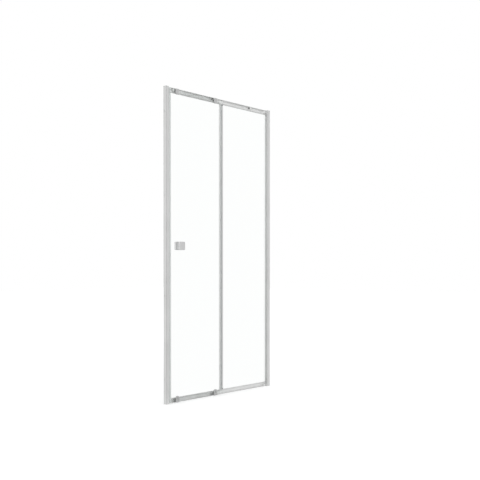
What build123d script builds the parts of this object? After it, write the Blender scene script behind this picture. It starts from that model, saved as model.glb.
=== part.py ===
from build123d import *
import os

# A framed sliding shower door for an alcove: one fixed pane, one pane on wheels, two rails
# and two posts. Sizes are in millimetres. X runs along the width, the moving pane and its
# carriages are on the front, at -Y, and Z goes up from the shower tray.

# Overall size
WIDTH = 1000.0  # between the two walls
HEIGHT = 1900.0
FRAME_DEPTH = 26.0
RAIL_DEPTH = 12.0
RAIL_HEIGHT = 30.0
DOORWAY = 473.5  # from the left post to the fixed stile
SHEET = 1.5  # wall of the aluminium profiles
EDGE = 0.7  # rounding of the profiles' outer corners

# Wall profiles and posts
WALL_FLANGE = 16.5
SLIP = 0.3  # play between a post and its wall profile
LEFT_REVEAL = 3.0  # part of the wall profile that stays in view
RIGHT_REVEAL = 11.0
LEFT_POST = 19.5
RIGHT_POST = 17.0
CAP_PLATE = 1.5
PLUG_DEPTH = 8.0
WALL_HOLE_RADIUS = 2.75
WALL_HOLE_OUTER = 800.0  # from mid height to the outer pair of holes
WALL_HOLE_INNER = 300.0
POST_SCREW_RADIUS = 2.0
POST_SCREW_LINE = 14.0  # from the wall
POST_SCREW_SPREAD = 750.0
SCREW_HEAD_RATIO = 1.9
SCREW_HEAD = 2.2

# Track of the rails, measured from the rail's inner edge
GLASS_SLOT = 6.0
BEAD_TOP = 10.0
BEAD_WIDTH = 1.5
BEAD_LINE = -1.0  # Y of the bead and of the wheels
OUTER_LIP = 4.0
BLOCK_LENGTH = 25.0
STOP_LENGTH = 14.0
STOP_GAP = 0.5
BUFFER = 4.0

# Panes
GLASS = 5.0
FIXED_FRONT = -2.0
PANE_FRONT = -15.0
PANE_END_GAP = 5.0  # above and below the moving pane
PANE_OVERLAP = 9.0  # past the fixed stile
GLASS_BITE = 5.0
STILE_WIDTH = 12.0
STILE_NOSE = 4.0

# Leading edge seal, magnets and trailing stile
SEAL_GAP = 0.5
SEAL_NOSE = 8.0
SEAL_GRIP = 12.6
SEAL_WALL = 1.2
MAGNET_SPAN = 4.6
STRIKE_WIDTH = 7.0
STRIKE_DEPTH = 4.0
STRIKE_LIP = 1.0
STRIKE_PLAY = 0.1
TRAIL_WIDTH = 10.0
TRAIL_LAP = 3.0
TRAIL_FRONT = 3.0
TRAIL_BACK = 1.0
TRAIL_END_GAP = 3.5
TRAIL_CAP = 8.0
FIN_BASE = 8.0
FIN_GAP = 0.4

# Handle
KNOB = 50.0
KNOB_CORNER = 6.0
KNOB_BEVEL = 2.0
KNOB_DEPTH = 21.0
KNOB_DISH = 0.8
KNOB_RIM = 4.0
HANDLE_INSET = 89.0
HANDLE_HEIGHT = 950.0
KNOB_CLEARANCE = 6.0  # to the fixed stile, with the door open
WASHER = 0.8
PAD_INSET = 5.0
STUD_RADIUS = 3.0
STUD_BITE = 12.0
HANDLE_HOLE = 6.0

# Carriages
CARRIAGE_INSET = 65.0
CAP_WIDTH = 29.0
CAP_CORNER = 4.0
CAP_TAB = 12.5  # radius of the cap's narrow end
CAP_BEVEL = 1.2
CAP_DEPTH = 5.0
CAP_WALL = 1.3
TOP_CAP_GAP = 2.7
TOP_CAP_HEIGHT = 35.3
LOW_CAP_GAP = 2.8
LOW_CAP_HEIGHT = 38.2
BASE_PLATE = 2.0
BACK_PLATE = 2.5
BACK_INSET = 1.3
CLAMP_DROP = 27.0  # from the top of the frame to the hole in the glass
CLAMP_HOLE = 7.0
CLAMP_RADIUS = 3.0
CLAMP_HEAD = 1.6
CLAMP_HEAD_RADIUS = 5.5

# Wheels
ROLL_GAP = 0.3
TYRE_WIDTH = 6.0
FLANGE = 1.8  # flange height over the rolling face
GROOVE = 2.4
BEARING_WIDTH = 4.0
SHIELD_PLAY = 0.1
TOP_ROLL = 7.7
TOP_AXLE = 2.5
TOP_INNER = 3.6
TOP_BEARING = 6.0
LOW_ROLL = 5.7
LOW_AXLE = 2.0
LOW_INNER = 2.9
LOW_BEARING = 4.6
RIVET_HEAD = 1.2

# Spring release of the bottom carriages
RELEASE_TRAVEL = 4.5
RELEASE_HOLE_HEIGHT = 27.0
RELEASE_HOLE = 10.5
BUSH_WALL = 1.0
RELEASE_PLAY = 0.3
BOSS = 9.0
SLIDER_WIDTH = 10.0
SLIDER_HEIGHT = 15.0
ARM_WIDTH = 9.0
ARM_KEY = 1.0
ARM_KEY_DEPTH = 0.8
ARM_END = 4.2  # below the axle
FORK_PLAY = 0.4
BUTTON_WIDTH = 8.0
BUTTON_HEIGHT = 9.0
BUTTON_PROUD = 1.5
RELEASE_SCREW_RADIUS = 1.25
RELEASE_SCREW_LINE = 7.9
RELEASE_SCREW_HEAD = 0.8
PILLAR_RADIUS = 2.0
SPRING_WIRE = 0.6
SPRING_RADIUS = 1.2
SPRING_TURNS = 4

# Places worked out from the sizes above
BACK = RAIL_DEPTH / 2
FRONT = BACK - FRAME_DEPTH
RAIL_FRONT = -RAIL_DEPTH / 2
SLOT_FRONT = RAIL_FRONT + SHEET
SLOT_BACK = BACK - SHEET
MIDDLE = HEIGHT / 2
PANE_BACK = PANE_FRONT + GLASS
FIXED_BACK = FIXED_FRONT + GLASS
LEFT_INSIDE = -WIDTH / 2 + LEFT_REVEAL + LEFT_POST
RIGHT_INSIDE = WIDTH / 2 - RIGHT_REVEAL - RIGHT_POST
STILE_LEFT = LEFT_INSIDE + DOORWAY
FIXED_EDGE = STILE_LEFT + STILE_NOSE
PANE_START = LEFT_INSIDE + SEAL_GAP + SEAL_NOSE
PANE_END = STILE_LEFT + PANE_OVERLAP
PANE_LOW = PANE_END_GAP
PANE_HIGH = HEIGHT - PANE_END_GAP
HANDLE_X = PANE_START + HANDLE_INSET
TRAVEL = STILE_LEFT - KNOB_CLEARANCE - HANDLE_X - KNOB / 2
CARRIAGES = {"left": PANE_START + CARRIAGE_INSET, "right": PANE_END - CARRIAGE_INSET}
TOP_WHEEL_Z = HEIGHT - RAIL_HEIGHT + BEAD_TOP + ROLL_GAP + TOP_ROLL
LOW_WHEEL_Z = RAIL_HEIGHT - BEAD_TOP - ROLL_GAP - LOW_ROLL
PLATE_BACK = PANE_BACK + BACK_PLATE
CAP_FRONT = PANE_FRONT - CAP_DEPTH
BOSS_Z = RELEASE_HOLE_HEIGHT + RELEASE_TRAVEL / 2
BLOCK_Z = (BEAD_TOP + RAIL_HEIGHT - SHEET) / 2  # from the rail's inner edge
STRIKE_Y = (PANE_FRONT + PANE_BACK) / 2
TRAIL_LOW = RAIL_HEIGHT + TRAIL_END_GAP
TRAIL_HIGH = HEIGHT - TRAIL_LOW


def rect(u0, u1, v0, v1, corner=0.0):
    """A rectangle between two corners, with rounded corners where a radius is given."""
    wide, high = abs(u1 - u0), abs(v1 - v0)
    shape = RectangleRounded(wide, high, corner) if corner else Rectangle(wide, high)
    return Pos((u0 + u1) / 2, (v0 + v1) / 2) * shape


def along_x(section, x0, x1):
    """A section drawn in Y and Z, from x0 to x1."""
    return extrude(Plane.YZ.offset(x0) * section, x1 - x0)


def along_y(section, y0, y1):
    """A section drawn in X and Z, from y0 to y1."""
    return extrude(Plane.XZ.offset(-y1) * section, y1 - y0)


def along_z(section, z0, z1):
    """A section drawn in X and Y, from z0 to z1."""
    return extrude(Plane.XY.offset(z0) * section, z1 - z0)


def pin_y(x, z, radius, y0, y1):
    """A round pin along Y."""
    return along_y(Pos(x, z) * Circle(radius), y0, y1)


def pin_x(y, z, radius, x0, x1):
    """A round pin along X."""
    return along_x(Pos(y, z) * Circle(radius), min(x0, x1), max(x0, x1))


def turned(profile, x, z):
    """A ring turned about a Y axis through x and z, from points of radius and Y."""
    ring = revolve(make_face(Polyline(*profile, close=True)), Axis.Y)
    return Pos(x, 0, z) * ring


def from_wall(side, inward):
    """X at a distance from the left (-1) or right (1) wall."""
    return side * (WIDTH / 2 - inward)


def wall_profile(side):
    """U channel screwed to the wall; the post slides over it."""
    front, back = FRONT + SHEET + SLIP, BACK - SHEET - SLIP
    section = rect(from_wall(side, 0), from_wall(side, WALL_FLANGE), front, back)
    section -= rect(
        from_wall(side, SHEET), from_wall(side, WALL_FLANGE + 1), front + SHEET, back - SHEET
    )
    body = along_z(section, 0, HEIGHT - CAP_PLATE)
    middle = (front + back) / 2
    for reach in (WALL_HOLE_OUTER, WALL_HOLE_INNER):
        for z in (MIDDLE - reach, MIDDLE + reach):
            ends = from_wall(side, -1), from_wall(side, SHEET + 1)
            body -= pin_x(middle, z, WALL_HOLE_RADIUS, *ends)
    return body - post_screw_holes(side)


def post_section(side, reveal, width):
    """C section, open to the wall, with its web on the inner side."""
    outside = rect(
        from_wall(side, reveal), from_wall(side, reveal + width), FRONT, BACK, EDGE
    )
    return outside - rect(
        from_wall(side, reveal - 1),
        from_wall(side, reveal + width - SHEET),
        FRONT + SHEET,
        BACK - SHEET,
    )


def post_left():
    """Post with a T slot that holds the strike seal."""
    inner = LEFT_REVEAL + LEFT_POST
    low, high = STRIKE_Y - STRIKE_WIDTH / 2, STRIKE_Y + STRIKE_WIDTH / 2

    def at(depth):
        return from_wall(-1, inner - depth)

    section = post_section(-1, LEFT_REVEAL, LEFT_POST)
    section += rect(at(STRIKE_DEPTH + SHEET), at(SHEET / 2), low - SHEET, high + SHEET)
    section -= rect(at(STRIKE_DEPTH), at(STRIKE_LIP), low, high)
    section -= rect(at(STRIKE_LIP), at(-1), low + STRIKE_LIP, high - STRIKE_LIP)
    body = along_z(section, 0, HEIGHT - CAP_PLATE)
    return body - post_screw_holes(-1) - corner_holes(-1)


def post_right():
    """Post with a channel that takes the fixed pane."""
    inner = RIGHT_REVEAL + RIGHT_POST

    def at(depth):
        return from_wall(1, inner - depth)

    section = post_section(1, RIGHT_REVEAL, RIGHT_POST)
    section += rect(at(GLASS_SLOT + SHEET), at(SHEET / 2), RAIL_FRONT, BACK - SHEET / 2)
    section -= rect(at(GLASS_SLOT), at(-1), SLOT_FRONT, SLOT_BACK)
    body = along_z(section, 0, HEIGHT - CAP_PLATE)
    return body - post_screw_holes(1) - corner_holes(1)


def post_screw_heights():
    return [MIDDLE + step * POST_SCREW_SPREAD for step in (-1, 0, 1)]


def post_screw_holes(side):
    """Holes through the rear flanges of a post and its wall profile."""
    x = from_wall(side, POST_SCREW_LINE)
    depth = BACK - 3 * SHEET
    holes = [pin_y(x, z, POST_SCREW_RADIUS, depth, BACK + 1) for z in post_screw_heights()]
    return Compound(children=holes)


def post_screws():
    """Screws that lock the posts to the wall profiles."""
    screws = []
    for side in (-1, 1):
        x = from_wall(side, POST_SCREW_LINE)
        for z in post_screw_heights():
            shank = pin_y(x, z, POST_SCREW_RADIUS, BACK - 3 * SHEET, BACK)
            head = pin_y(x, z, POST_SCREW_RADIUS * SCREW_HEAD_RATIO, BACK, BACK + SCREW_HEAD)
            screws.append(shank + head)
    return Compound(children=screws)


def post_cap(side, reveal, width):
    """Cover on the top end of a post and its wall profile, with a plug that centres it."""
    top = HEIGHT - CAP_PLATE
    plate = along_z(
        rect(from_wall(side, 0), from_wall(side, reveal + width), FRONT, BACK, EDGE), top, HEIGHT
    )
    inset = 2 * SHEET + SLIP
    plug = along_z(
        rect(
            from_wall(side, SHEET), from_wall(side, WALL_FLANGE), FRONT + inset, BACK - inset
        ),
        top - PLUG_DEPTH,
        top,
    )
    return plate + plug


def rail_section():
    """Rail section in Y and the height over the rail's inner edge."""
    floor = GLASS_SLOT + SHEET
    section = rect(RAIL_FRONT, BACK, 0, RAIL_HEIGHT, EDGE)
    section -= rect(SLOT_FRONT, SLOT_BACK, -1, GLASS_SLOT)
    section -= rect(SLOT_FRONT, SLOT_BACK, floor, RAIL_HEIGHT - SHEET)
    section -= rect(RAIL_FRONT - 1, SLOT_FRONT + 1, floor, RAIL_HEIGHT - OUTER_LIP)
    round_top = BEAD_TOP - BEAD_WIDTH / 2
    half = BEAD_WIDTH / 2
    section += rect(BEAD_LINE - half, BEAD_LINE + half, floor - SHEET / 2, round_top)
    return section + Pos(BEAD_LINE, round_top) * Circle(half)


def rail(top):
    """Top rail, or the same section turned over for the bottom rail."""
    section = rail_section()
    if top:
        return along_x(Pos(0, HEIGHT - RAIL_HEIGHT) * section, LEFT_INSIDE, RIGHT_INSIDE)
    turned_over = mirror(section, about=Plane.XZ)
    return along_x(Pos(0, RAIL_HEIGHT) * turned_over, LEFT_INSIDE, RIGHT_INSIDE)


def rail_heights(low, high):
    """Two height spans over the inner edge of the bottom and of the top rail."""
    return [
        (RAIL_HEIGHT - high, RAIL_HEIGHT - low),
        (HEIGHT - RAIL_HEIGHT + low, HEIGHT - RAIL_HEIGHT + high),
    ]


def corner_blocks():
    """Blocks in the rails' ends, which take the corner screws."""
    blocks = []
    for x0, x1 in (
        (LEFT_INSIDE, LEFT_INSIDE + BLOCK_LENGTH),
        (RIGHT_INSIDE - BLOCK_LENGTH, RIGHT_INSIDE),
    ):
        for low, high in rail_heights(BEAD_TOP, RAIL_HEIGHT - SHEET):
            block = along_x(rect(SLOT_FRONT, SLOT_BACK, low, high), x0, x1)
            blocks.append(block - pin_x(0, (low + high) / 2, POST_SCREW_RADIUS, x0 - 1, x1 + 1))
    return Compound(children=blocks)


def corner_screws_of(side, heads=True):
    """Screws from inside one post into the corner blocks."""
    face = LEFT_INSIDE if side < 0 else RIGHT_INSIDE
    under_head = face + side * (SHEET if side < 0 else GLASS_SLOT + SHEET)
    end = face - side * BLOCK_LENGTH
    screws = []
    for z in (RAIL_HEIGHT - BLOCK_Z, HEIGHT - RAIL_HEIGHT + BLOCK_Z):
        screw = pin_x(0, z, POST_SCREW_RADIUS, under_head + (0 if heads else side), end)
        if heads:
            radius = POST_SCREW_RADIUS * SCREW_HEAD_RATIO
            screw += pin_x(0, z, radius, under_head, under_head + side * SCREW_HEAD)
        screws.append(screw)
    return screws


def corner_holes(side):
    return Compound(children=corner_screws_of(side, heads=False))


def corner_screws():
    """All the corner screws of the frame."""
    return Compound(children=corner_screws_of(-1) + corner_screws_of(1))


def stop_faces():
    """X of the faces that the top wheels meet with the door closed and open."""
    reach = TOP_ROLL + FLANGE + STOP_GAP
    return CARRIAGES["left"] - reach, CARRIAGES["right"] + TRAVEL + reach


def rail_stops():
    """Stop blocks in the top rail."""
    closed, opened = stop_faces()
    low, high = rail_heights(BEAD_TOP, RAIL_HEIGHT - SHEET)[1]
    section = rect(SLOT_FRONT, SLOT_BACK, low, high)
    blocks = [
        along_x(section, closed - BUFFER - STOP_LENGTH, closed - BUFFER),
        along_x(section, opened + BUFFER, opened + BUFFER + STOP_LENGTH),
    ]
    return Compound(children=blocks)


def stop_buffers():
    """Rubber buffers on the stop blocks."""
    closed, opened = stop_faces()
    low, high = rail_heights(BEAD_TOP, RAIL_HEIGHT - SHEET)[1]
    radius = (SLOT_BACK - SLOT_FRONT) / 2 - SLIP
    z = (low + high) / 2
    buffers = [
        pin_x(0, z, radius, closed - BUFFER, closed),
        pin_x(0, z, radius, opened, opened + BUFFER),
    ]
    return Compound(children=buffers)


def fixed_glass():
    """Fixed pane, held in the rails, the right post and the fixed stile."""
    low = RAIL_HEIGHT - GLASS_BITE
    section = rect(FIXED_EDGE, RIGHT_INSIDE + GLASS_BITE, FIXED_FRONT, FIXED_BACK)
    return along_z(section, low, HEIGHT - low)


def fixed_stile():
    """Profile on the free edge of the fixed pane, between the rails."""
    section = rect(STILE_LEFT, STILE_LEFT + STILE_WIDTH, RAIL_FRONT, BACK, EDGE)
    section -= rect(FIXED_EDGE, STILE_LEFT + STILE_WIDTH + 1, FIXED_FRONT, FIXED_BACK)
    return along_z(section, RAIL_HEIGHT, HEIGHT - RAIL_HEIGHT)


def rail_gasket(top):
    """U gasket between the fixed pane and a rail."""
    low, high = rail_heights(0, GLASS_SLOT)[int(top)]
    section = rect(SLOT_FRONT, SLOT_BACK, low, high)
    bite_low, bite_high = (low - 1, low + GLASS_BITE) if top else (high - GLASS_BITE, high + 1)
    section -= rect(FIXED_FRONT, FIXED_BACK, bite_low, bite_high)
    return along_x(section, FIXED_EDGE, RIGHT_INSIDE)


def side_gasket():
    """U gasket between the fixed pane and the right post."""
    section = rect(RIGHT_INSIDE, RIGHT_INSIDE + GLASS_SLOT, SLOT_FRONT, SLOT_BACK)
    section -= rect(RIGHT_INSIDE - 1, RIGHT_INSIDE + GLASS_BITE, FIXED_FRONT, FIXED_BACK)
    low = RAIL_HEIGHT - GLASS_BITE
    return along_z(section, low, HEIGHT - low)


def strike_section():
    """T section of the strike seal in the left post's slot."""
    half = STRIKE_WIDTH / 2 - STRIKE_PLAY
    neck = half - STRIKE_LIP
    floor = LEFT_INSIDE - STRIKE_DEPTH
    section = rect(floor, LEFT_INSIDE - STRIKE_LIP - STRIKE_PLAY, STRIKE_Y - half, STRIKE_Y + half)
    return section + rect(floor + 1, LEFT_INSIDE, STRIKE_Y - neck, STRIKE_Y + neck)


def strike_magnet_section():
    half = MAGNET_SPAN / 2 - SEAL_WALL / 2
    floor = LEFT_INSIDE - STRIKE_DEPTH
    return rect(floor, floor + STRIKE_DEPTH / 2, STRIKE_Y - half, STRIKE_Y + half)


def strike_seal():
    return along_z(strike_section() - strike_magnet_section(), RAIL_HEIGHT, HEIGHT - RAIL_HEIGHT)


def strike_magnet():
    return along_z(strike_magnet_section(), RAIL_HEIGHT, HEIGHT - RAIL_HEIGHT)


def sliding_glass():
    """Moving pane, with holes for the four carriages and the handle."""
    pane = along_z(rect(PANE_START, PANE_END, PANE_FRONT, PANE_BACK), PANE_LOW, PANE_HIGH)
    through = PANE_FRONT - 1, PANE_BACK + 1
    for x in CARRIAGES.values():
        pane -= pin_y(x, HEIGHT - CLAMP_DROP, CLAMP_HOLE, *through)
        pane -= pin_y(x, RELEASE_HOLE_HEIGHT, RELEASE_HOLE, *through)
    return pane - pin_y(HANDLE_X, HANDLE_HEIGHT, HANDLE_HOLE, *through)


def door_magnet_section():
    start = LEFT_INSIDE + SEAL_GAP + SEAL_WALL
    half = MAGNET_SPAN / 2
    return rect(start, PANE_START - 2 * SEAL_WALL, STRIKE_Y - half, STRIKE_Y + half)


def leading_seal():
    """Clear seal that clips on the leading edge, with a magnet in its nose."""
    start = LEFT_INSIDE + SEAL_GAP
    half = MAGNET_SPAN / 2 + SEAL_WALL
    section = rect(start, PANE_START - SEAL_WALL, STRIKE_Y - half, STRIKE_Y + half, EDGE)
    section += rect(
        PANE_START - SEAL_WALL * 1.5,
        PANE_START + SEAL_GRIP,
        PANE_FRONT - SEAL_WALL,
        PANE_BACK + SEAL_WALL,
    )
    section -= rect(PANE_START, PANE_START + SEAL_GRIP + 1, PANE_FRONT, PANE_BACK)
    return along_z(section - door_magnet_section(), PANE_LOW, PANE_HIGH)


def door_magnet():
    return along_z(door_magnet_section(), PANE_LOW, PANE_HIGH)


def trailing_stile_section():
    end = PANE_END + TRAIL_WIDTH - TRAIL_LAP
    section = rect(PANE_END - TRAIL_LAP, end, PANE_FRONT - TRAIL_FRONT, PANE_BACK + TRAIL_BACK, EDGE)
    return section - rect(
        PANE_END - TRAIL_LAP - 1, PANE_END, PANE_FRONT, PANE_BACK + TRAIL_BACK + 1
    )


def trailing_stile():
    """Profile on the trailing edge of the moving pane."""
    end = PANE_END + TRAIL_WIDTH - TRAIL_LAP
    chamber = rect(PANE_END + SHEET, end - SHEET, PANE_FRONT - SHEET, PANE_BACK - SHEET + TRAIL_BACK)
    section = trailing_stile_section() - chamber
    return along_z(section, TRAIL_LOW + TRAIL_CAP, TRAIL_HIGH - TRAIL_CAP)


def trailing_stile_caps():
    """End caps of the trailing stile."""
    section = trailing_stile_section()
    low = along_z(section, TRAIL_LOW, TRAIL_LOW + TRAIL_CAP)
    return Compound(children=[low, along_z(section, TRAIL_HIGH - TRAIL_CAP, TRAIL_HIGH)])


def trailing_fin():
    """Clear fin behind the trailing edge, which meets the fixed stile."""
    base = PANE_BACK + SEAL_WALL
    start = PANE_END - FIN_BASE
    section = rect(start, PANE_END, PANE_BACK, base)
    tip = RAIL_FRONT - FIN_GAP
    lean = tip - base
    fin = Polyline(
        (start, base), (start + SEAL_WALL, base), (start + SEAL_WALL + lean, tip), (start + lean, tip),
        close=True,
    )
    return along_z(section + make_face(fin), TRAIL_LOW, TRAIL_HIGH)


def knob(front):
    """Square knob with a shallow dish in its face."""
    seat = PANE_FRONT - WASHER if front else PANE_BACK + WASHER
    way = -1 if front else 1
    face = seat + way * (KNOB_DEPTH - WASHER)
    half = KNOB / 2

    def square(size, corner):
        edges = HANDLE_X - size, HANDLE_X + size, HANDLE_HEIGHT - size, HANDLE_HEIGHT + size
        return rect(*edges, corner)

    body = along_y(square(half, KNOB_CORNER), min(seat, face), max(seat, face))
    body = chamfer(body.faces().sort_by(Axis.Y)[0 if front else -1].edges(), KNOB_BEVEL)
    dish = square(half - KNOB_RIM, KNOB_CORNER - KNOB_RIM / 2)
    floor = face - way * KNOB_DISH
    body -= along_y(dish, min(floor, face + way), max(floor, face + way))
    hole_end = seat + way * STUD_BITE
    return body - pin_y(
        HANDLE_X, HANDLE_HEIGHT, STUD_RADIUS, min(seat, hole_end), max(seat, hole_end)
    )


def handle_stud():
    """Threaded stud that draws the two knobs together."""
    bite = WASHER + STUD_BITE
    return pin_y(HANDLE_X, HANDLE_HEIGHT, STUD_RADIUS, PANE_FRONT - bite, PANE_BACK + bite)


def ring_y(x, z, outer, inner, y0, y1):
    """A flat ring about a Y axis."""
    return along_y(Pos(x, z) * (Circle(outer) - Circle(inner)), y0, y1)


def handle_sleeve():
    """Sleeve that keeps the stud off the glass."""
    return ring_y(HANDLE_X, HANDLE_HEIGHT, HANDLE_HOLE, STUD_RADIUS, PANE_FRONT, PANE_BACK)


def handle_washers():
    """Soft square pads between the knobs and the glass."""
    half = KNOB / 2 - PAD_INSET
    edges = HANDLE_X - half, HANDLE_X + half, HANDLE_HEIGHT - half, HANDLE_HEIGHT + half
    section = rect(*edges, KNOB_CORNER / 2) - Pos(HANDLE_X, HANDLE_HEIGHT) * Circle(STUD_RADIUS)
    spans = (PANE_FRONT - WASHER, PANE_FRONT), (PANE_BACK, PANE_BACK + WASHER)
    return Compound(children=[along_y(section, *span) for span in spans])


def cap_outline(x, wide_end, tab_end, inset=0.0):
    """Shield that is square at its wide end and tapers to a round tab."""
    way = 1 if tab_end > wide_end else -1
    spread = CAP_WIDTH / 2 - CAP_CORNER
    corner_z = wide_end + way * CAP_CORNER
    corner = Circle(CAP_CORNER - inset)
    circles = Pos(x - spread, corner_z) * corner + Pos(x + spread, corner_z) * corner
    circles += Pos(x, tab_end - way * CAP_TAB) * Circle(CAP_TAB - inset)
    return make_hull(circles.edges())


def cap_shell(x, wide_end, tab_end):
    """Moulded cover with a bevelled front and open at the glass."""
    shell = along_y(cap_outline(x, wide_end, tab_end), CAP_FRONT, PANE_FRONT)
    shell = chamfer(shell.faces().sort_by(Axis.Y)[0].edges(), CAP_BEVEL)
    inside = cap_outline(x, wide_end, tab_end, CAP_WALL)
    return shell - along_y(inside, CAP_FRONT + CAP_WALL, PANE_FRONT + 1)


def top_cap_span():
    """Z of a top cover's wide upper end and of its tab below the rail."""
    high = HEIGHT - TOP_CAP_GAP
    return high, high - TOP_CAP_HEIGHT


def top_cap(x):
    """Cover of a top carriage."""
    return cap_shell(x, *top_cap_span())


def top_base(x):
    """Base plate under a top cover, clamped to the front of the glass."""
    plate = along_y(cap_outline(x, *top_cap_span(), CAP_WALL), PANE_FRONT - BASE_PLATE, PANE_FRONT)
    return plate - pin_y(
        x, HEIGHT - CLAMP_DROP, CLAMP_RADIUS, PANE_FRONT - BASE_PLATE - 1, PANE_FRONT + 1
    )


def top_plate(x):
    """Plate behind the glass that carries a top wheel's axle."""
    plate = along_y(cap_outline(x, *top_cap_span(), BACK_INSET), PANE_BACK, PLATE_BACK)
    through = PANE_BACK - 1, PLATE_BACK + 1
    plate -= pin_y(x, TOP_WHEEL_Z, TOP_AXLE, *through)
    return plate - pin_y(x, HEIGHT - CLAMP_DROP, CLAMP_RADIUS, *through)


def clamp_bolts():
    """Bolts that clamp the top carriages on the glass."""
    bolts = []
    seat = PANE_FRONT - BASE_PLATE
    for x in CARRIAGES.values():
        z = HEIGHT - CLAMP_DROP
        head = pin_y(x, z, CLAMP_HEAD_RADIUS, seat - CLAMP_HEAD, seat)
        bolts.append(head + pin_y(x, z, CLAMP_RADIUS, seat, PLATE_BACK))
    return Compound(children=bolts)


def glass_bushes():
    """Bushes that line the carriage holes in the glass."""
    rings = []
    for x in CARRIAGES.values():
        spans = PANE_FRONT, PANE_BACK
        rings.append(ring_y(x, HEIGHT - CLAMP_DROP, CLAMP_HOLE, CLAMP_RADIUS, *spans))
        inner = RELEASE_HOLE - BUSH_WALL
        rings.append(ring_y(x, RELEASE_HOLE_HEIGHT, RELEASE_HOLE, inner, *spans))
    return Compound(children=rings)


def axle(x, z, radius, head, start):
    """Axle fixed at its front end, with a riveted head behind the bearing."""
    back = BEAD_LINE + BEARING_WIDTH / 2
    return pin_y(x, z, radius, start, back) + pin_y(x, z, head, back, back + RIVET_HEAD)


def top_axle(x):
    return axle(x, TOP_WHEEL_Z, TOP_AXLE, TOP_INNER, PANE_BACK)


def bearing_inner(x, z, bore, outer):
    """Inner ring, which reaches forward to the plate that carries the axle."""
    return ring_y(x, z, outer, bore, PLATE_BACK, BEAD_LINE + BEARING_WIDTH / 2)


def top_bearing_inner(x):
    return bearing_inner(x, TOP_WHEEL_Z, TOP_AXLE, TOP_INNER)


def bearing_outer(x, z, inner, outer):
    """Outer ring with its shields, which run just clear of the inner ring."""
    half = BEARING_WIDTH / 2
    return ring_y(x, z, outer, inner + SHIELD_PLAY, BEAD_LINE - half, BEAD_LINE + half)


def tyre(x, z, bore, roll):
    """Grooved tyre that runs on the rail's bead."""
    half, groove, rim = TYRE_WIDTH / 2, GROOVE / 2, roll + FLANGE
    slope = groove + FLANGE / 2
    profile = [
        (bore, -half), (rim, -half), (rim, -slope), (roll, -groove),
        (roll, groove), (rim, slope), (rim, half), (bore, half),
    ]
    return turned([(r, y + BEAD_LINE) for r, y in profile], x, z)


def low_cap_span():
    """Z of a housing's wide lower end and of its tab above the rail."""
    return LOW_CAP_GAP, LOW_CAP_GAP + LOW_CAP_HEIGHT


def slider_front():
    """Y of the slider's front face, just behind the housing's front wall."""
    return CAP_FRONT + CAP_WALL + RELEASE_PLAY


def button_span():
    return BOSS_Z - BUTTON_HEIGHT / 2, BOSS_Z + BUTTON_HEIGHT / 2


def release_screw_places(x):
    return [x - RELEASE_SCREW_LINE, x + RELEASE_SCREW_LINE]


def release_housing(x):
    """Moulded housing of a bottom carriage, with a window for the button."""
    body = cap_shell(x, *low_cap_span())
    for place in release_screw_places(x):
        body += pin_y(place, RELEASE_HOLE_HEIGHT, PILLAR_RADIUS, CAP_FRONT + CAP_WALL / 2, PANE_FRONT)
        body -= pin_y(
            place, RELEASE_HOLE_HEIGHT, RELEASE_SCREW_RADIUS, CAP_FRONT + CAP_WALL, PANE_FRONT + 1
        )
    low, high = button_span()
    half = BUTTON_WIDTH / 2 + RELEASE_PLAY
    window = rect(x - half, x + half, low - RELEASE_TRAVEL - RELEASE_PLAY, high + RELEASE_PLAY)
    return body - along_y(window, CAP_FRONT - 1, CAP_FRONT + CAP_WALL + 1)


def release_slider(x):
    """Slider with a boss through the glass and an arm behind it that carries the axle."""
    front = slider_front()
    half = SLIDER_WIDTH / 2
    face = along_y(
        rect(x - half, x + half, BOSS_Z - SLIDER_HEIGHT / 2, BOSS_Z + SLIDER_HEIGHT / 2),
        front,
        PANE_FRONT - RELEASE_PLAY,
    )
    boss = rect(x - BOSS / 2, x + BOSS / 2, BOSS_Z - BOSS / 2, BOSS_Z + BOSS / 2)
    arm_front = PANE_BACK + RELEASE_PLAY
    arm_low, arm_high = LOW_WHEEL_Z - ARM_END, BOSS_Z + BOSS / 2
    arm = rect(x - ARM_WIDTH / 2, x + ARM_WIDTH / 2, arm_low, arm_high)
    key_half = ARM_WIDTH / 2 + ARM_KEY
    key = rect(x - key_half, x + key_half, arm_low, arm_high)
    body = face + along_y(boss, PANE_FRONT - RELEASE_PLAY, arm_front)
    body += along_y(arm, arm_front, PLATE_BACK)
    body += along_y(key, arm_front, arm_front + ARM_KEY_DEPTH)
    return body - pin_y(x, LOW_WHEEL_Z, LOW_AXLE, arm_front - 1, PLATE_BACK + 1)


def release_button(x):
    """Button on the front of a slider."""
    half = BUTTON_WIDTH / 2
    face = CAP_FRONT - BUTTON_PROUD
    button = along_y(rect(x - half, x + half, *button_span()), face, slider_front())
    edges = button.faces().sort_by(Axis.Y)[0].edges()
    return fillet(edges, BUTTON_PROUD / 3)


def release_plate(x):
    """Forked plate behind the glass that guides the slider's arm."""
    low, high = low_cap_span()
    plate = along_y(cap_outline(x, low, high, BACK_INSET), PANE_BACK, PLATE_BACK)
    slot_top = BOSS_Z + BOSS / 2 + RELEASE_PLAY
    narrow = ARM_WIDTH / 2 + FORK_PLAY
    wide = narrow + ARM_KEY
    step = PANE_BACK + RELEASE_PLAY + ARM_KEY_DEPTH + RELEASE_PLAY
    plate -= along_y(rect(x - narrow, x + narrow, low - 1, slot_top), PANE_BACK - 1, PLATE_BACK + 1)
    plate -= along_y(rect(x - wide, x + wide, low - 1, slot_top), PANE_BACK - 1, step)
    for place in release_screw_places(x):
        plate -= pin_y(
            place, RELEASE_HOLE_HEIGHT, RELEASE_SCREW_RADIUS, PANE_BACK - 1, PLATE_BACK + 1
        )
    return plate


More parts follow.
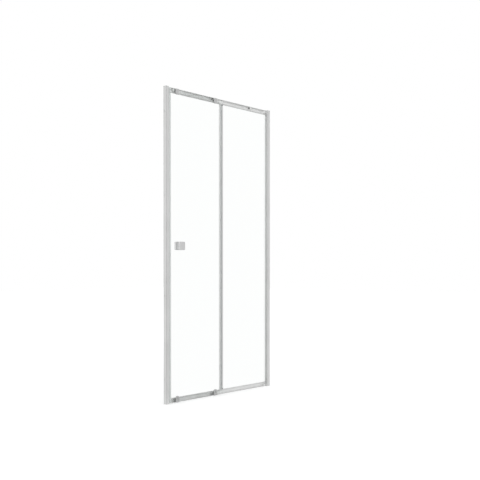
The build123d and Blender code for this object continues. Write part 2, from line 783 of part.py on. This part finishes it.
def release_screws():
    """Screws that draw each forked plate and its housing together through the glass."""
    screws = []
    for x in CARRIAGES.values():
        for place in release_screw_places(x):
            shank = pin_y(
                place, RELEASE_HOLE_HEIGHT, RELEASE_SCREW_RADIUS, CAP_FRONT + CAP_WALL, PLATE_BACK
            )
            radius = RELEASE_SCREW_RADIUS * SCREW_HEAD_RATIO
            ends = PLATE_BACK, PLATE_BACK + RELEASE_SCREW_HEAD
            screws.append(shank + pin_y(place, RELEASE_HOLE_HEIGHT, radius, *ends))
    return Compound(children=screws)


def release_spring(x):
    """Coil spring that lifts a slider, so that its wheel stays hooked on the rail."""
    floor = LOW_CAP_GAP + CAP_WALL
    top = BOSS_Z - SLIDER_HEIGHT / 2
    y = (slider_front() + PANE_FRONT - RELEASE_PLAY) / 2
    length = top - floor - SPRING_WIRE
    path = Helix(pitch=length / SPRING_TURNS, height=length, radius=SPRING_RADIUS)
    wire = Plane(origin=path @ 0, z_dir=path % 0) * Rectangle(SPRING_WIRE, SPRING_WIRE)
    return Pos(x, y, floor + SPRING_WIRE / 2) * sweep(wire, path=path)


def low_axle(x):
    start = PANE_BACK + RELEASE_PLAY
    return axle(x, LOW_WHEEL_Z, LOW_AXLE, LOW_INNER, start)


def frame_nodes():
    return {
        "wall_profile_left": wall_profile(-1),
        "wall_profile_right": wall_profile(1),
        "post_left": post_left(),
        "post_right": post_right(),
        "post_caps": Compound(
            children=[post_cap(-1, LEFT_REVEAL, LEFT_POST), post_cap(1, RIGHT_REVEAL, RIGHT_POST)]
        ),
        "post_screws": post_screws(),
        "top_rail": rail(True),
        "bottom_rail": rail(False),
        "corner_blocks": corner_blocks(),
        "corner_screws": corner_screws(),
        "rail_stops": rail_stops(),
        "stop_buffers": stop_buffers(),
        "fixed_glass": fixed_glass(),
        "fixed_stile": fixed_stile(),
        "rail_gaskets": Compound(children=[rail_gasket(False), rail_gasket(True)]),
        "side_gasket": side_gasket(),
        "strike_seal": strike_seal(),
        "strike_magnet": strike_magnet(),
    }


def pair(piece):
    """The two like pieces of the left and the right carriage, as one node."""
    return Compound(children=[piece(x) for x in CARRIAGES.values()])


def door_nodes():
    return {
        "sliding_glass": sliding_glass(),
        "leading_seal": leading_seal(),
        "door_magnet": door_magnet(),
        "trailing_stile": trailing_stile(),
        "trailing_stile_caps": trailing_stile_caps(),
        "trailing_fin": trailing_fin(),
        "handle_knob_front": knob(True),
        "handle_knob_rear": knob(False),
        "handle_stud": handle_stud(),
        "handle_sleeve": handle_sleeve(),
        "handle_washers": handle_washers(),
        "clamp_bolts": clamp_bolts(),
        "glass_bushes": glass_bushes(),
        "release_screws": release_screws(),
        "top_bases": pair(top_base),
        "top_plates": pair(top_plate),
        "top_axles": pair(top_axle),
        "top_bearing_inners": pair(top_bearing_inner),
        "release_plates": pair(release_plate),
    }


def carriage_nodes(side, x):
    """Pieces of the top and the bottom carriage of one side."""
    return {
        f"top_cover_{side}": top_cap(x),
        f"release_housing_{side}": release_housing(x),
        f"release_spring_{side}": release_spring(x),
        f"release_slider_{side}": release_slider(x),
        f"release_button_{side}": release_button(x),
        f"release_axle_{side}": low_axle(x),
        f"low_bearing_inner_{side}": bearing_inner(x, LOW_WHEEL_Z, LOW_AXLE, LOW_INNER),
    }


def wheel_nodes(side, x):
    """Turning pieces of the top and the bottom wheel of one side."""
    low = LOW_INNER, LOW_BEARING
    top = TOP_INNER, TOP_BEARING
    return {
        f"top_wheel_bearing_{side}": bearing_outer(x, TOP_WHEEL_Z, *top),
        f"top_wheel_tyre_{side}": tyre(x, TOP_WHEEL_Z, TOP_BEARING, TOP_ROLL),
        f"low_wheel_bearing_{side}": bearing_outer(x, LOW_WHEEL_Z, *low),
        f"low_wheel_tyre_{side}": tyre(x, LOW_WHEEL_Z, LOW_BEARING, LOW_ROLL),
    }


nodes = frame_nodes() | door_nodes()
for side_name, carriage_x in CARRIAGES.items():
    nodes |= carriage_nodes(side_name, carriage_x)
    nodes |= wheel_nodes(side_name, carriage_x)

os.makedirs("parts", exist_ok=True)
for node_name, shape in nodes.items():
    export_step(shape, f"parts/{node_name}.step")
print(len(nodes), "nodes, door travel", TRAVEL)
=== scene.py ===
import math

import bmesh
import bpy
from mathutils import Matrix, Vector

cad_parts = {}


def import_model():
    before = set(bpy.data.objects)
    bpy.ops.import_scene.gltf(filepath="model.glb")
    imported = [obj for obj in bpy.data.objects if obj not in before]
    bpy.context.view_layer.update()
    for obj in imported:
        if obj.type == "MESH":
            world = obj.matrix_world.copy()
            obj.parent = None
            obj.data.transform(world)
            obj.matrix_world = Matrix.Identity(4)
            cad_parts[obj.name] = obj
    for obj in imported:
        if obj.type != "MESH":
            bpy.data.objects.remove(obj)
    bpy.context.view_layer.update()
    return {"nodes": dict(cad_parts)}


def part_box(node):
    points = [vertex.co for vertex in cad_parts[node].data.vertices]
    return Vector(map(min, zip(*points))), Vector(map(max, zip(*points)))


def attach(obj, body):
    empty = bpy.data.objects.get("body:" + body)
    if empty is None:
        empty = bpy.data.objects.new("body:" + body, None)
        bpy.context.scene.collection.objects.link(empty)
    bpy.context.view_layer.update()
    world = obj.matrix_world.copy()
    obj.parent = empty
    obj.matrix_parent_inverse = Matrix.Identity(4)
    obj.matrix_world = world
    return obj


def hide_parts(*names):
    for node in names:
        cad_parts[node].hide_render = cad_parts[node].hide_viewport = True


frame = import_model()

# The photograph's camera, in metres and in the frame's own axes
CAMERA_PLACE = Vector((-3.806, -3.392, 0.818))
CAMERA_TURN = math.radians(40.24)  # from +X towards +Y
CAMERA_DIP = math.radians(0.66)
LENS = 59.22
SENSOR_WIDTH = 36.0
SHIFT_UP = 0.0765

# Colours, as linear red, green and blue
ALUMINIUM = (0.68, 0.683, 0.68)
GLASS_FACE = (0.985, 0.995, 0.99)
GLASS_EDGE = (0.70, 0.86, 0.80)
GLASS_SHADE = (0.96, 0.975, 0.97)
SEAL_CLEAR = (0.90, 0.93, 0.92)
SEAL_OPAL = (0.94, 0.955, 0.95)
SEAL_PALE = (0.80, 0.805, 0.80)
RUBBER = (0.22, 0.22, 0.225)
MAGNET = (0.16, 0.16, 0.165)
MOULDING = (0.54, 0.543, 0.543)
MOULDING_DARK = (0.26, 0.26, 0.265)
ACETAL = (0.46, 0.463, 0.465)
ACETAL_WHITE = (0.82, 0.82, 0.81)
CHROME = (0.61, 0.613, 0.613)
STEEL = (0.72, 0.72, 0.71)
TYRE = (0.36, 0.36, 0.365)
FLOOR = (0.80, 0.80, 0.80)
WHITE = (1, 1, 1, 1)

# The profiles' satin finish, and the painted light in their hollows: how much brighter the walls
# in there are drawn, against the shade
SATIN_ROUGH = 0.6
HOLLOW_PAINTED_LIGHT = 1.22
HOLLOW_DEPTH = 0.0011
UPRIGHT_FROM = 0.5  # a profile taller than this stands, in metres

# Noise: the band that most of its values lie in, and its cells per metre
NOISE_LOW, NOISE_HIGH = 0.3, 0.7
DRAWN_ACROSS, DRAWN_ALONG = 900.0, 6.0
METAL_CLOUD = 9.0
METAL_TONE_BAND = (0.75, 1.25)  # of the sum of two noises
SPARK_GRAIN = 2500.0
PLASTIC_CLOUD = 60.0
SEAL_LINES = (1500.0, 1500.0, 3.0)
FLOOR_GRAIN = 40.0
RELIEF = 0.00002  # height of a grain, in metres

# How far a grain moves the roughness down and up
METAL_SWAY = (-0.05, 0.06)
PLASTIC_SWAY = (-0.05, 0.07)
SEAL_SWAY = (-0.06, 0.08)

# Glass: from where to where its edge turns into its face, as the normal's share along Y
EDGE_TO_FACE = (0.3, 0.9)
GLASS_INDEX = 1.45
SMEAR_STRETCH = (3.0, 3.0, 1.2)
SMEAR_BAND = (0.45, 0.75)
SMEAR_ROUGH = 0.012

# Seals
SEAL_ROUGH = 0.32
SEAL_COAT, SEAL_COAT_ROUGH = 0.6, 0.2

# Small sizes that the finish adds, in metres
CAP_EDGE = 0.0004
KNOB_EDGE = 0.0005
TYRE_EDGE = 0.0003
SOFT_ANGLE = math.radians(40)  # sharper edges than this are rounded
SAME_POINT = 0.000002

# Screw heads, sizes in metres
SCREW_CROWN = 0.0006
RECESS_REACH = 0.0021
RECESS_WIDTH = 0.0007
RECESS_DEPTH = 0.0012
RECESS_FOOT = (0.45, 0.7)  # shares of reach and width at the recess's foot
RECESS_MOUTH = (1.1, 1.0)  # and at its mouth
HEAD_RADIUS = 1.727  # of the head's height
CROWN_INSET = 0.35  # of the head's height
CROWN_RISE = 0.6  # of the crown's height
CROWN_STEPS = 6
TURN_STEPS = 32
SCREW_TURN_X, SCREW_TURN_Z = 40, 7  # each head is turned by its place, in radians per metre

# Surroundings: levels of light, where 1 is white, and lengths in metres
LIGHT_LEVEL, SEEN_LEVEL = 0.75, 1.0
FLOOR_SIZE = 40.0
FLOOR_DROP = 0.0005
FLOOR_LEVELS = (0.38, 0.5)
FLOOR_REACH = (1.0, 4.0)
LAMP_TARGET = Vector((0, 0, 0.95))

# Sockets of a mix node that mixes colours
MIX_BY, MIX_LOW, MIX_HIGH, MIXED = 0, 6, 7, 2


class Nodes:
    """The node tree of a material or a world, with short calls to add and join nodes."""

    def __init__(self, owner):
        owner.use_nodes = True
        self.owner = owner
        self.tree = owner.node_tree
        self.shader = self.tree.nodes.get("Principled BSDF")

    def add(self, kind, **values):
        node = self.tree.nodes.new(kind)
        for key, value in values.items():
            if hasattr(node, key):
                setattr(node, key, value)
            else:
                node.inputs[key].default_value = value
        return node

    def join(self, out, socket):
        self.tree.links.new(out, socket)

    def feed(self, key, out):
        """Joins an output to one of the shader's inputs."""
        self.join(out, self.shader.inputs[key])

    def set(self, **values):
        for key, value in values.items():
            self.shader.inputs[key.replace("_", " ")].default_value = value

    def place(self, scale=(1, 1, 1)):
        """Object coordinates, stretched."""
        coords = self.add("ShaderNodeTexCoord")
        mapping = self.add("ShaderNodeMapping")
        mapping.inputs["Scale"].default_value = scale
        self.join(coords.outputs["Object"], mapping.inputs["Vector"])
        return mapping.outputs["Vector"]

    def noise(self, vector, scale, detail=3.0, roughness=0.5):
        node = self.add("ShaderNodeTexNoise")
        node.inputs["Scale"].default_value = scale
        node.inputs["Detail"].default_value = detail
        node.inputs["Roughness"].default_value = roughness
        self.join(vector, node.inputs["Vector"])
        return node.outputs["Fac"]

    def spread(self, value, low, high, start=NOISE_LOW, end=NOISE_HIGH):
        """Maps a value from start to end onto low to high."""
        node = self.add("ShaderNodeMapRange")
        ends = {"From Min": start, "From Max": end, "To Min": low, "To Max": high}
        for key, number in ends.items():
            node.inputs[key].default_value = number
        self.join(value, node.inputs["Value"])
        return node.outputs["Result"]

    def tint(self, value, low, high):
        """Mixes two colours by a value."""
        node = self.add("ShaderNodeMix", data_type="RGBA")
        node.inputs[MIX_LOW].default_value = (*low, 1)
        node.inputs[MIX_HIGH].default_value = (*high, 1)
        self.join(value, node.inputs[MIX_BY])
        return node.outputs[MIXED]

    def math(self, operation, *values):
        """A sum, product or the like of numbers and outputs."""
        node = self.add("ShaderNodeMath", operation=operation)
        for socket, value in zip(node.inputs, values):
            if isinstance(value, (int, float)):
                socket.default_value = value
            else:
                self.join(value, socket)
        return node.outputs[0]

    def roughen(self, value, level, sway):
        """Roughness at a level, which a noise moves down and up."""
        self.feed("Roughness", self.spread(value, level + sway[0], level + sway[1]))

    def bump(self, height):
        node = self.add("ShaderNodeBump")
        node.inputs["Distance"].default_value = RELIEF
        node.inputs["Strength"].default_value = 1.0
        self.join(height, node.inputs["Height"])
        self.feed("Normal", node.outputs["Normal"])

    def any_ray(self, *kinds):
        """1 for rays of any of these kinds, else 0."""
        path = self.add("ShaderNodeLightPath")
        total = path.outputs[f"Is {kinds[0]} Ray"]
        for kind in kinds[1:]:
            total = self.math("MAXIMUM", total, path.outputs[f"Is {kind} Ray"])
        return total

    def show_instead(self, other, *kinds):
        """Shows another shader to rays of these kinds."""
        either = self.add("ShaderNodeMixShader")
        self.join(self.any_ray(*kinds), either.inputs[0])
        self.join(self.shader.outputs[0], either.inputs[1])
        self.join(other.outputs[0], either.inputs[2])
        self.join(either.outputs[0], self.tree.nodes["Material Output"].inputs["Surface"])


def new_material(name):
    return Nodes(bpy.data.materials.new(name))


def shade(colour, factor):
    return tuple(channel * factor for channel in colour)


def hollow(m, node, axes):
    """1 on the walls inside a node's section, where painted light is added, 0 on its outside."""
    low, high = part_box(node)
    coords = m.add("ShaderNodeTexCoord")
    split = m.add("ShaderNodeSeparateXYZ")
    m.join(coords.outputs["Object"], split.inputs[0])
    inside = 1.0
    for axis in axes:
        at = "XYZ".index(axis)
        above = m.math("GREATER_THAN", split.outputs[at], low[at] + HOLLOW_DEPTH)
        below = m.math("LESS_THAN", split.outputs[at], high[at] - HOLLOW_DEPTH)
        inside = m.math("MULTIPLY", inside, m.math("MULTIPLY", above, below))
    return inside


def profile_metal(node):
    """Satin aluminium of a profile, with painted light that brightens the walls in its hollows.
    """
    low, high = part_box(node)
    section, grain = ("XY", "Z") if high[2] - low[2] > UPRIGHT_FROM else ("YZ", "X")
    finish = metal(f"aluminium_{node}", ALUMINIUM, grain, SATIN_ROUGH, painted_light_in=(node, section))
    cover_with(finish, node)


def metal(name, colour, grain=None, rough=0.42, streak=0.04, painted_light_in=None):
    """Metal with a fine grain, drawn along an axis if one is given, a faint cloudiness, and
    painted light that brightens the walls inside a profile's hollows if they are given.
    """
    m = new_material(name)
    stretch = [DRAWN_ACROSS] * 3
    if grain:
        stretch["XYZ".index(grain)] = DRAWN_ALONG
    fine = m.noise(m.place(stretch), 1.0, detail=4.0, roughness=0.6)
    cloud = m.noise(m.place(), METAL_CLOUD, detail=2.0)
    tone = m.spread(m.math("ADD", fine, cloud), 0.0, 1.0, *METAL_TONE_BAND)
    colours = m.tint(tone, shade(colour, 1 - streak), shade(colour, 1 + streak))
    # Painted light: the walls inside the hollows are drawn brighter, against the shade there
    if painted_light_in:
        painted_gain = m.math("MULTIPLY_ADD", hollow(m, *painted_light_in), HOLLOW_PAINTED_LIGHT - 1, 1.0)
        painted_lift = m.add("ShaderNodeVectorMath", operation="SCALE")
        m.join(colours, painted_lift.inputs[0])
        m.join(painted_gain, painted_lift.inputs["Scale"])
        colours = painted_lift.outputs[0]
    m.feed("Base Color", colours)
    m.roughen(fine, rough, METAL_SWAY)
    m.bump(fine)
    m.set(Metallic=1.0)
    return m.owner


def plastic(name, colour, rough, streak=0.04):
    """Moulded plastic with a fine spark grain and a slight tone that varies at random."""
    m = new_material(name)
    fine = m.noise(m.place(), SPARK_GRAIN, detail=2.0)
    cloud = m.noise(m.place(), PLASTIC_CLOUD)
    low, high = shade(colour, 1 - streak), shade(colour, 1 + streak)
    m.feed("Base Color", m.tint(m.spread(cloud, 0.0, 1.0), low, high))
    m.roughen(fine, rough, PLASTIC_SWAY)
    m.bump(fine)
    return m.owner


def clear_glass():
    """Float glass: clear faces, green edges and a trace of smears. Lamps shine through it."""
    m = new_material("clear_glass")
    geometry = m.add("ShaderNodeNewGeometry")
    split = m.add("ShaderNodeSeparateXYZ")
    m.join(geometry.outputs["True Normal"], split.inputs[0])
    face = m.spread(m.math("ABSOLUTE", split.outputs["Y"]), 0.0, 1.0, *EDGE_TO_FACE)
    m.feed("Base Color", m.tint(face, GLASS_EDGE, GLASS_FACE))
    smear = m.noise(m.place(SMEAR_STRETCH), 4.0, detail=5.0, roughness=0.6)
    m.feed("Roughness", m.spread(smear, 0.0, SMEAR_ROUGH, *SMEAR_BAND))
    m.set(Transmission_Weight=1.0, IOR=GLASS_INDEX)
    open_glass = m.add("ShaderNodeBsdfTransparent", Color=(*GLASS_SHADE, 1))
    m.show_instead(open_glass, "Shadow", "Diffuse")
    return m.owner


def clear_seal(name, colour, alpha):
    """Soft clear plastic drawn along its length, with a thin gloss."""
    m = new_material(name)
    lines = m.noise(m.place(SEAL_LINES), 1.0, detail=2.0)
    low, high = shade(colour, 0.95), shade(colour, 1.04)
    m.feed("Base Color", m.tint(m.spread(lines, 0.0, 1.0), low, high))
    m.roughen(lines, SEAL_ROUGH, SEAL_SWAY)
    m.bump(lines)
    m.set(Alpha=alpha, Coat_Weight=SEAL_COAT, Coat_Roughness=SEAL_COAT_ROUGH)
    return m.owner


def cover_with(material, *names):
    """Puts a material on CAD nodes."""
    for name in names:
        mesh = frame["nodes"][name].data
        mesh.materials.clear()
        mesh.materials.append(material)


def sides(*names):
    """Names of nodes that come as a left and a right one."""
    return [f"{name}_{side}" for name in names for side in ("left", "right")]


def dress():
    """Every CAD node's finish. Gives the steel back, for the screw heads."""
    for name in ("fixed_stile", "trailing_stile", "top_rail", "bottom_rail",
                 *sides("wall_profile", "post")):
        profile_metal(name)
    # The corner blocks sit in the rails' hollows, so their aluminium is a painted lit copy,
    # brighter by the same gain as the hollow walls
    cover_with(metal("die_cast_painted_bright", shade(ALUMINIUM, HOLLOW_PAINTED_LIGHT)), "corner_blocks")
    cover_with(clear_glass(), "fixed_glass", "sliding_glass")
    cover_with(clear_seal("seal_clear", SEAL_CLEAR, alpha=0.5), "leading_seal")
    cover_with(clear_seal("seal_opal", SEAL_OPAL, alpha=0.95), "trailing_fin")
    soft = plastic("seal_pale", SEAL_PALE, rough=0.55)
    cover_with(soft, "strike_seal", "rail_gaskets", "side_gasket", "handle_washers")
    cover_with(plastic("rubber", RUBBER, rough=0.7), "stop_buffers")
    cover_with(plastic("magnet", MAGNET, rough=0.6), "strike_magnet", "door_magnet")
    moulded = plastic("moulding_grey", MOULDING, rough=0.3)
    cover_with(moulded, "post_caps", *sides("top_cover", "release_housing"))
    cover_with(plastic("moulding_dark", MOULDING_DARK, rough=0.4), "trailing_stile_caps")
    acetal = plastic("acetal", ACETAL, rough=0.42)
    cover_with(acetal, "top_bases", *sides("release_button", "release_slider"))
    natural = plastic("acetal_white", ACETAL_WHITE, rough=0.42)
    cover_with(natural, "rail_stops", "glass_bushes", "handle_sleeve")
    chrome = metal("chrome_satin", CHROME, "Z", rough=0.4, streak=0.03)
    cover_with(chrome, "handle_knob_front", "handle_knob_rear")
    steel = metal("steel", STEEL, rough=0.35, streak=0.05)
    cover_with(steel, "post_screws", "corner_screws", "clamp_bolts", "release_screws",
               "top_plates", "release_plates", "top_axles", "handle_stud", "top_bearing_inners",
               *sides("release_axle", "low_bearing_inner", "top_wheel_bearing",
                      "low_wheel_bearing", "release_spring"))
    tyre = plastic("tyre", TYRE, rough=0.45)
    cover_with(tyre, *sides("top_wheel_tyre", "low_wheel_tyre"))
    return steel


def soften(width, segments, *names):
    """Rounds the sharp edges of CAD nodes a little, as moulded and ground pieces are."""
    for name in names:
        piece = frame["nodes"][name]
        weld = piece.modifiers.new("weld", "WELD")
        weld.merge_threshold = SAME_POINT
        bevel = piece.modifiers.new("bevel", "BEVEL")
        bevel.width = width
        bevel.segments = segments
        bevel.limit_method = "ANGLE"
        bevel.angle_limit = SOFT_ANGLE
        bevel.harden_normals = True


def screw_piece(name, radius, height, steel):
    """Pan head with a crown and a cross recess, which lies on z = 0."""
    made = bmesh.new()
    outline = [(radius, 0.0), (radius, height - SCREW_CROWN)]
    for step in range(1, CROWN_STEPS):
        turn = math.pi / 2 * step / CROWN_STEPS
        outline.append((
            radius - height * CROWN_INSET * (1 - math.cos(turn)),
            height - SCREW_CROWN + SCREW_CROWN * CROWN_RISE * math.sin(turn),
        ))
    outline.append((0.0, height))
    points = [made.verts.new((reach, 0, z)) for reach, z in outline]
    lines = [made.edges.new(pair) for pair in zip(points, points[1:])]
    bmesh.ops.spin(made, geom=points + lines, cent=(0, 0, 0), axis=(0, 0, 1),
                   angle=2 * math.pi, steps=TURN_STEPS)
    bmesh.ops.remove_doubles(made, verts=made.verts[:], dist=SAME_POINT)
    rim = [edge for edge in made.edges if edge.is_boundary]
    bmesh.ops.contextual_create(made, geom=rim)
    bmesh.ops.recalc_face_normals(made, faces=made.faces[:])
    head = new_object(name, made)
    for turn in (0, math.pi / 2):
        cut_recess(head, turn, height)
    head.data.materials.clear()
    head.data.materials.append(steel)
    return head


def new_object(name, made):
    """An object of a finished bmesh, which is freed."""
    mesh = bpy.data.meshes.new(name)
    made.to_mesh(mesh)
    made.free()
    piece = bpy.data.objects.new(name, mesh)
    bpy.context.collection.objects.link(piece)
    return piece


def cut_recess(head, turn, top):
    """Cuts one arm of the cross recess, which narrows downwards."""
    made = bmesh.new()
    bmesh.ops.create_cube(made, size=1.0)
    for vert in made.verts:
        low = vert.co.z < 0
        along, across = RECESS_FOOT if low else RECESS_MOUTH
        vert.co = Vector((
            vert.co.x * 2 * RECESS_REACH * along,
            vert.co.y * RECESS_WIDTH * across,
            top - RECESS_DEPTH if low else top + RECESS_DEPTH,
        ))
    bmesh.ops.rotate(made, verts=made.verts[:], cent=(0, 0, 0),
                     matrix=Matrix.Rotation(turn, 3, "Z"))
    tool = new_object("recess", made)
    cut = head.modifiers.new("cut", "BOOLEAN")
    cut.operation = "DIFFERENCE"
    cut.solver = "EXACT"
    cut.object = tool
    bpy.context.view_layer.objects.active = head
    bpy.ops.object.modifier_apply(modifier=cut.name)
    bpy.data.objects.remove(tool)


def post_screw_heads(steel):
    """Screws with cross recesses on the posts' rear flanges."""
    low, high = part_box("post_screws")
    post_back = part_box("post_left")[1][1]
    height = high[1] - post_back
    radius = height * HEAD_RADIUS
    left, right = low[0] + radius, high[0] - radius
    bottom, top = low[2] + radius, high[2] - radius
    to_rear = Matrix.Rotation(-math.pi / 2, 4, "X")
    made = bmesh.new()
    head = screw_piece("screw_head", radius, height, steel)
    for x in (left, right):
        for z in (bottom, (bottom + top) / 2, top):
            place = Matrix.Translation((x, post_back, z)) @ to_rear
            turn = Matrix.Rotation(x * SCREW_TURN_X + z * SCREW_TURN_Z, 4, "Z")
            copy = head.data.copy()
            copy.transform(place @ turn)
            made.from_mesh(copy)
            bpy.data.meshes.remove(copy)
    bpy.data.objects.remove(head)
    piece = new_object("post_screw_heads", made)
    piece.data.materials.append(steel)
    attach(piece, "frame")
    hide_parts("post_screws")


def floor():
    """Pale floor that keeps the object's shadow and meets the white background.

    Glossy and transmitted rays see it plain white, so no step shows through the panes.
    """
    bpy.ops.mesh.primitive_plane_add(size=FLOOR_SIZE, location=(0, 0, -FLOOR_DROP))
    plane = bpy.context.object
    plane.name = "floor"
    m = new_material("floor_white")
    grain = m.noise(m.place(), FLOOR_GRAIN, detail=4.0)
    low, high = shade(FLOOR, 0.99), shade(FLOOR, 1.01)
    m.feed("Base Color", m.tint(m.spread(grain, 0.0, 1.0), low, high))
    m.set(Roughness=0.9, Specular_IOR_Level=0.0, Emission_Color=WHITE)
    reach = m.add("ShaderNodeVectorMath", operation="LENGTH")
    m.join(m.place(), reach.inputs[0])
    level = m.spread(reach.outputs["Value"], *FLOOR_LEVELS, *FLOOR_REACH)
    m.feed("Emission Strength", m.math("MULTIPLY", level, m.any_ray("Camera")))
    white = m.add("ShaderNodeEmission", Strength=1.0)
    m.show_instead(white, "Glossy", "Transmission")
    plane.data.materials.append(m.owner)


def world():
    """White surroundings, which light the object at a plain level."""
    made = bpy.data.worlds.new("studio")
    bpy.context.scene.world = made
    m = Nodes(made)
    background = m.tree.nodes["Background"]
    background.inputs["Color"].default_value = WHITE
    seen = m.any_ray("Camera", "Glossy", "Transmission")
    m.join(m.spread(seen, LIGHT_LEVEL, SEEN_LEVEL, 0.0, 1.0), background.inputs["Strength"])


def lamp(name, place, size, level):
    """Round soft box, as bright as white surroundings times its level."""
    data = bpy.data.lights.new(name, "AREA")
    data.shape = "DISK"
    data.size = size
    data.energy = level * math.pi * math.pi * (size / 2) ** 2
    made = bpy.data.objects.new(name, data)
    bpy.context.collection.objects.link(made)
    made.location = place
    made.rotation_euler = (LAMP_TARGET - Vector(place)).to_track_quat("-Z", "Y").to_euler()
    made.visible_camera = False


def camera():
    data = bpy.data.cameras.new("camera")
    data.lens = LENS
    data.sensor_width = SENSOR_WIDTH
    data.shift_y = SHIFT_UP
    made = bpy.data.objects.new("camera", data)
    bpy.context.collection.objects.link(made)
    made.location = CAMERA_PLACE
    ahead = Vector((
        math.cos(CAMERA_TURN) * math.cos(CAMERA_DIP),
        math.sin(CAMERA_TURN) * math.cos(CAMERA_DIP),
        -math.sin(CAMERA_DIP),
    ))
    made.rotation_euler = ahead.to_track_quat("-Z", "Y").to_euler()
    bpy.context.scene.camera = made


camera()
world()
floor()
lamp("key", (-2.5, -4.2, 3.4), size=4.5, level=1.0)
lamp("side", (-4.5, 2.6, 2.0), size=4.0, level=0.26)
bpy.context.scene.view_settings.view_transform = "Standard"
steel_finish = dress()
soften(CAP_EDGE, 2, "post_caps", *sides("top_cover", "release_housing", "release_button"))
soften(KNOB_EDGE, 3, "handle_knob_front", "handle_knob_rear")
soften(TYRE_EDGE, 2, *sides("top_wheel_tyre", "low_wheel_tyre"))
post_screw_heads(steel_finish)
